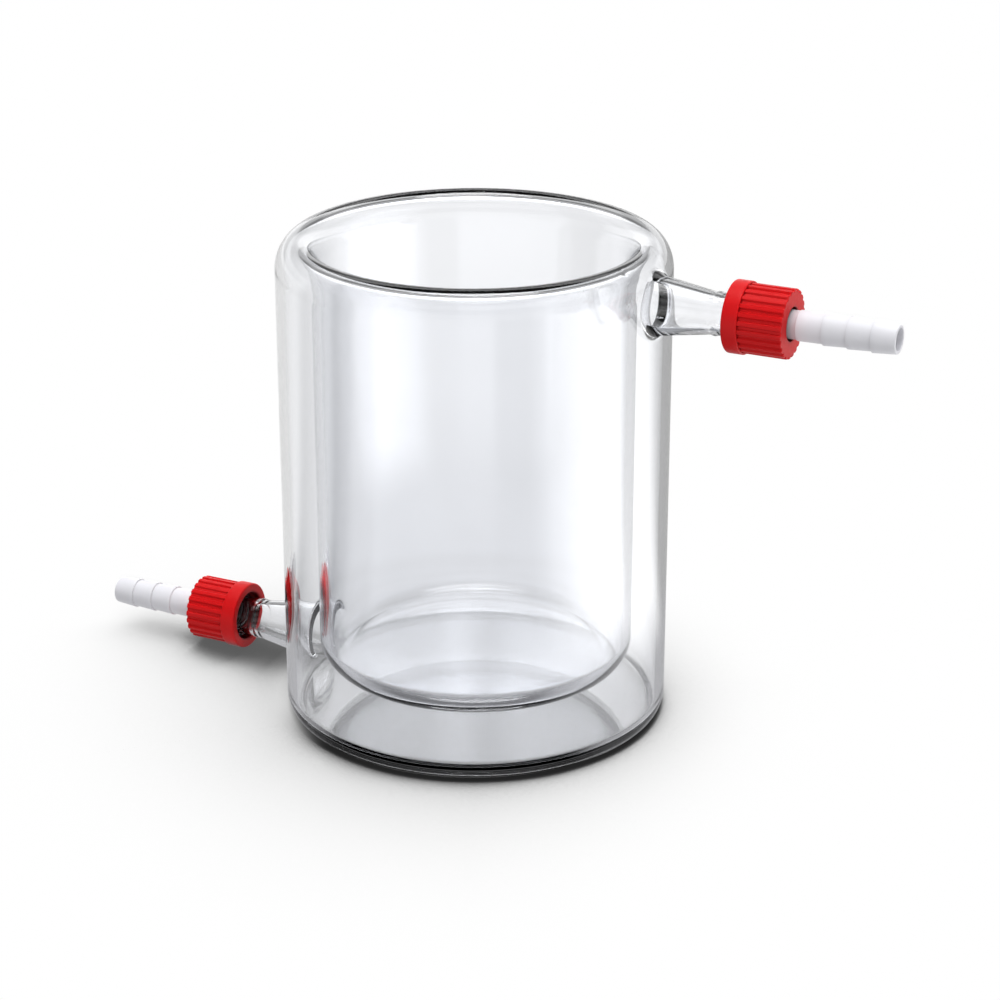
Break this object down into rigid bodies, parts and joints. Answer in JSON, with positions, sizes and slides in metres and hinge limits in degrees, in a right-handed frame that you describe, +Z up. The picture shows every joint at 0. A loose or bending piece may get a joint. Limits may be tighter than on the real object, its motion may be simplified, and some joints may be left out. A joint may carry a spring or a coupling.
{
  "type": "jacketed glass beaker",
  "caption": "Double-walled clear glass beaker for circulating water round its contents, with opposite high and low side arms that end in screw caps and barbed hose nozzles.",
  "frame": {"origin": "centre of the base, on the surface that the beaker stands on", "axes": "+Z up along the vessel's axis, +X outward along the upper connector, the lower connector points along -X"},
  "size_m": [0.245, 0.11, 0.14],
  "materials": {
    "clear_glass": "clear, fire polished borosilicate glass",
    "red_plastic": "satin moulded plastic",
    "white_plastic": "satin moulded plastic, slightly translucent",
    "silicone": "matt silicone rubber"
  },
  "bodies": {
    "glass": {"inner_beaker": "clear_glass", "outer_jacket": "clear_glass", "upper_arm_cone": "clear_glass", "upper_arm_neck": "clear_glass", "lower_arm_cone": "clear_glass", "lower_arm_neck": "clear_glass"},
    "upper_nozzle": {"upper_nozzle": "white_plastic", "upper_gasket": "silicone"},
    "upper_cap": {"upper_cap": "red_plastic"},
    "lower_nozzle": {"lower_nozzle": "white_plastic", "lower_gasket": "silicone"},
    "lower_cap": {"lower_cap": "red_plastic"}
  },
  "joints": [
    {"name": "upper_nozzle_slide", "type": "slide", "parent": "glass", "child": "upper_nozzle", "axis": [1, 0, 0], "range_m": [0, 0.0075]},
    {"name": "upper_cap_turn", "type": "hinge", "parent": "upper_nozzle", "child": "upper_cap", "pos_m": [0.085, 0, 0.12775], "axis": [1, 0, 0], "range_deg": [0, 1080]},
    {"name": "lower_nozzle_slide", "type": "slide", "parent": "glass", "child": "lower_nozzle", "axis": [-1, 0, 0], "range_m": [0, 0.0075]},
    {"name": "lower_cap_turn", "type": "hinge", "parent": "lower_nozzle", "child": "lower_cap", "pos_m": [-0.085, 0, 0.0107], "axis": [-1, 0, 0], "range_deg": [0, 1080]}
  ],
  "couplings": [
    {"joint": "upper_nozzle_slide", "follows": "upper_cap_turn", "m_per_rad": 0.00039789},
    {"joint": "lower_nozzle_slide", "follows": "lower_cap_turn", "m_per_rad": 0.00039789}
  ]
}
